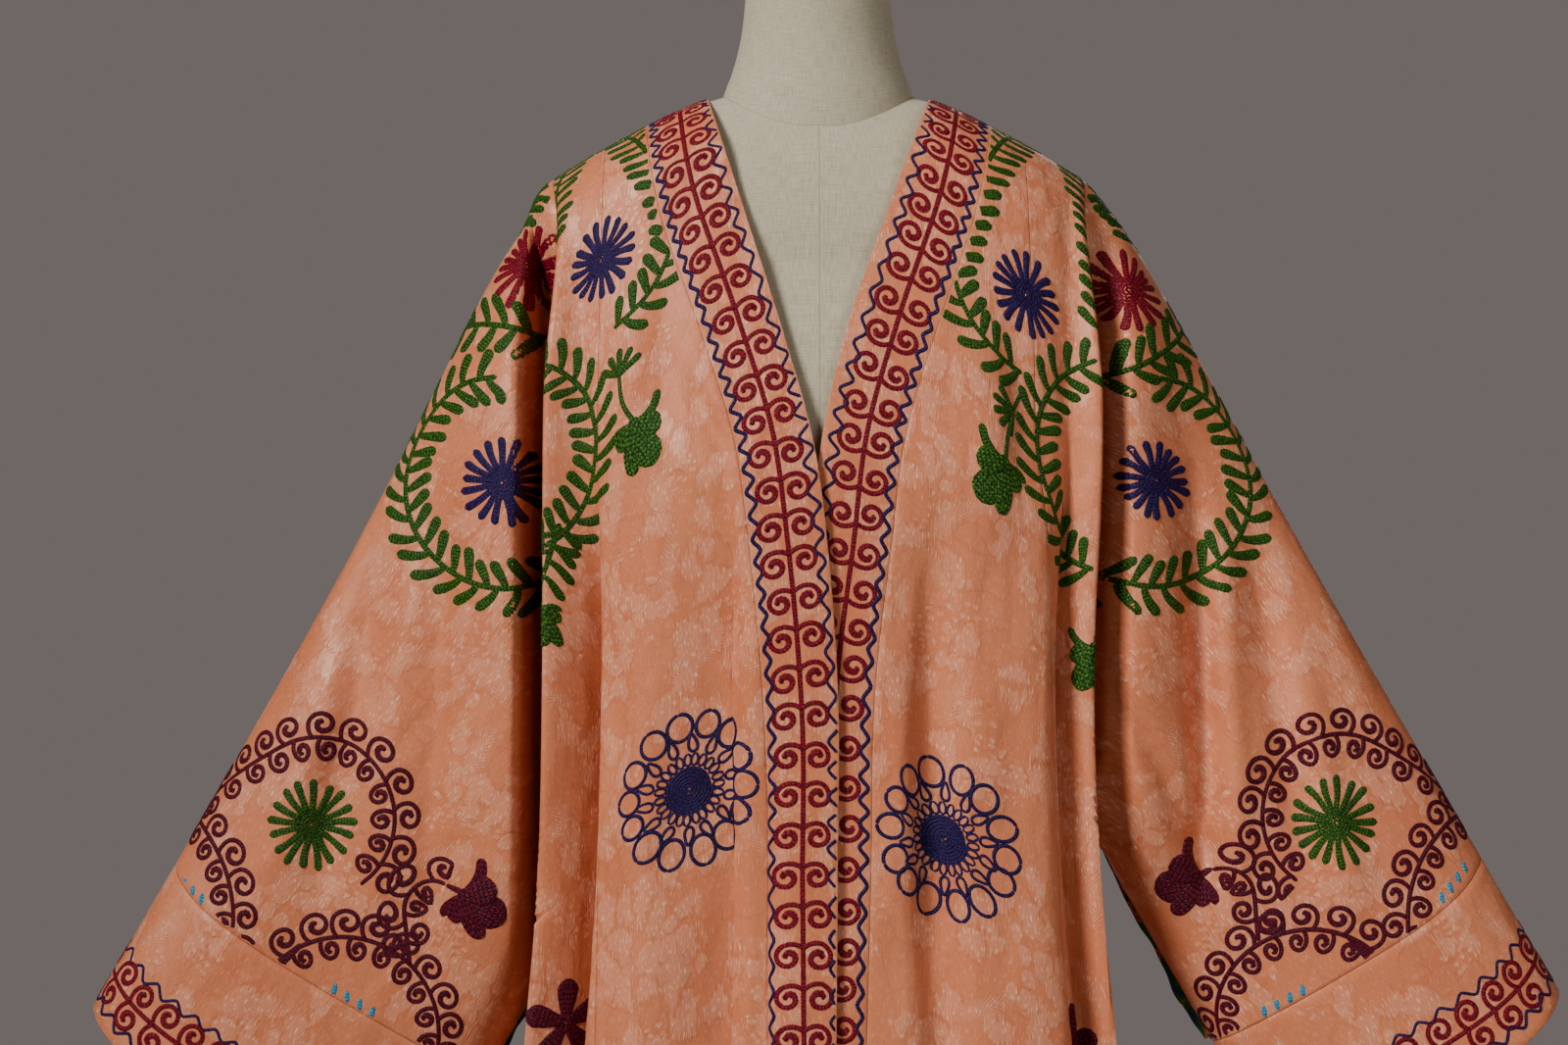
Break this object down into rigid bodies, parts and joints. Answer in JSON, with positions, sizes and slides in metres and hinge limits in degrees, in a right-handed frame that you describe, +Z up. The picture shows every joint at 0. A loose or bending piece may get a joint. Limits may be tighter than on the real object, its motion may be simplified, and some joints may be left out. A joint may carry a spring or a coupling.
{
  "type": "uzbek chapan robe on a limbless dress form",
  "caption": "Open-fronted ankle-length silk chapan with wide hanging sleeves and chain-stitch suzani embroidery, worn by a limbless linen dress form on a round-based steel stand.",
  "frame": {"origin": "centre of the round base's underside, on the floor", "axes": "+Z up, the robe faces -Y, +X is to the viewer's right"},
  "size_m": [1.111, 0.3967, 1.566],
  "materials": {
    "silk": "salmon silk satin with a self-coloured figured weave",
    "linen": "plain ivory linen cover of the form",
    "steel": "satin steel of the pole, socket and base",
    "crimson_thread": "crimson silk chain stitch",
    "green_thread": "green silk chain stitch",
    "navy_thread": "navy silk chain stitch",
    "maroon_thread": "maroon silk chain stitch",
    "turquoise_thread": "turquoise silk chain stitch"
  },
  "bodies": {
    "root": {"front_band_left": "silk", "front_band_right": "silk", "front_middle_left": "silk", "front_middle_right": "silk", "front_side_left": "silk", "front_side_right": "silk", "back_middle": "silk", "back_side_left": "silk", "back_side_right": "silk", "neck_band_back": "silk", "sleeve_left": "silk", "sleeve_right": "silk", "cuff_left": "silk", "cuff_right": "silk", "form_torso": "linen", "pole_socket": "steel", "pole": "steel", "base": "steel"}
  },
  "joints": []
}
